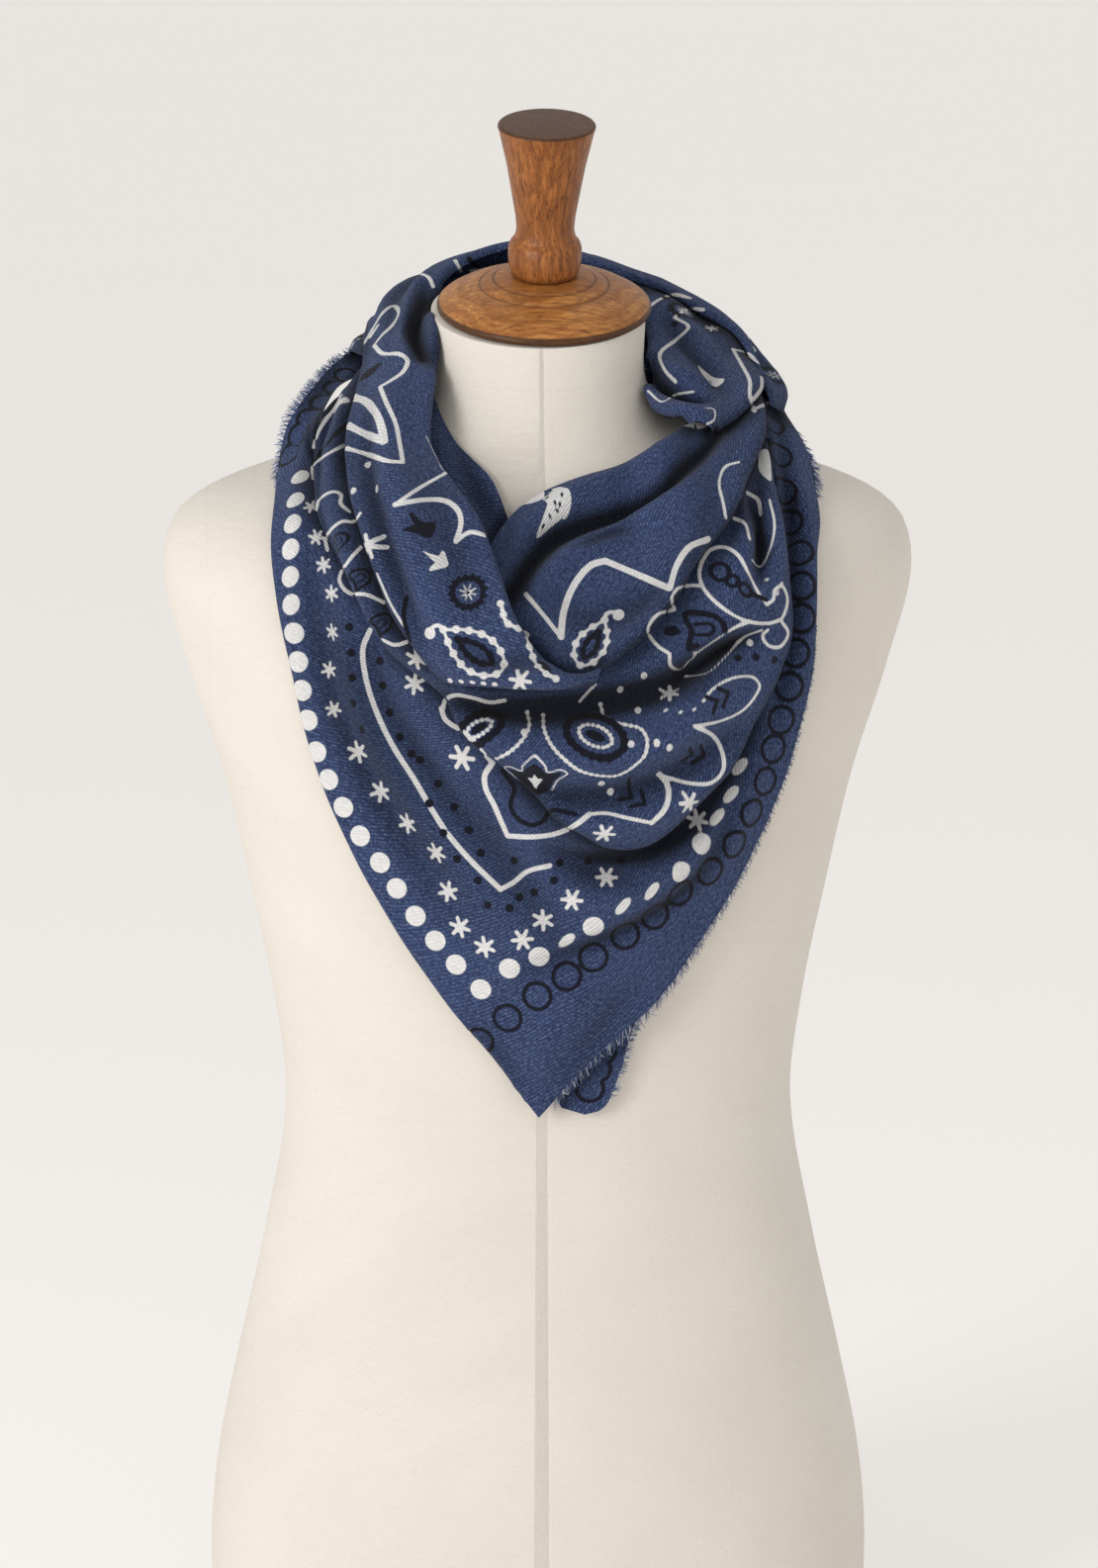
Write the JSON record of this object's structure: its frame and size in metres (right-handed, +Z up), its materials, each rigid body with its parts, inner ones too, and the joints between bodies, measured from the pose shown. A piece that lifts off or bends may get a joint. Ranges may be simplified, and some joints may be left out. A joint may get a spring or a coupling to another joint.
{
  "type": "frayed edge scarf on a dress form",
  "caption": "Square bandana-print scarf with frayed edges, wound round the neck of a limbless dress form so that its point hangs on the chest.",
  "frame": {"origin": "middle of the dress form's flat base", "axes": "+Z up, -Y to the front of the form, +X to the viewer's right when seen from the front"},
  "size_m": [0.3906, 0.274, 0.8153],
  "materials": {
    "form_linen": "smooth cream calico stretched over a padded form",
    "turned_wood": "turned hardwood, satin oiled",
    "scarf_twill": "light brushed twill, heathered blue with an off-white and navy print",
    "frayed_edge": "loose yarn ends"
  },
  "bodies": {
    "root": {"dress_form": "form_linen", "neck_cap": "turned_wood", "cap_handle": "turned_wood", "under_corner": "scarf_twill", "back_under": "scarf_twill", "front_panel": "scarf_twill", "mid_swag": "scarf_twill", "back_over": "scarf_twill", "inner_left": "scarf_twill", "cowl": "scarf_twill", "right_crest": "scarf_twill", "left_strand": "scarf_twill", "fringe_point": "frayed_edge", "fringe_left_shoulder": "frayed_edge", "fringe_back": "frayed_edge", "fringe_right_shoulder": "frayed_edge", "fringe_under_corner": "frayed_edge"}
  },
  "joints": []
}
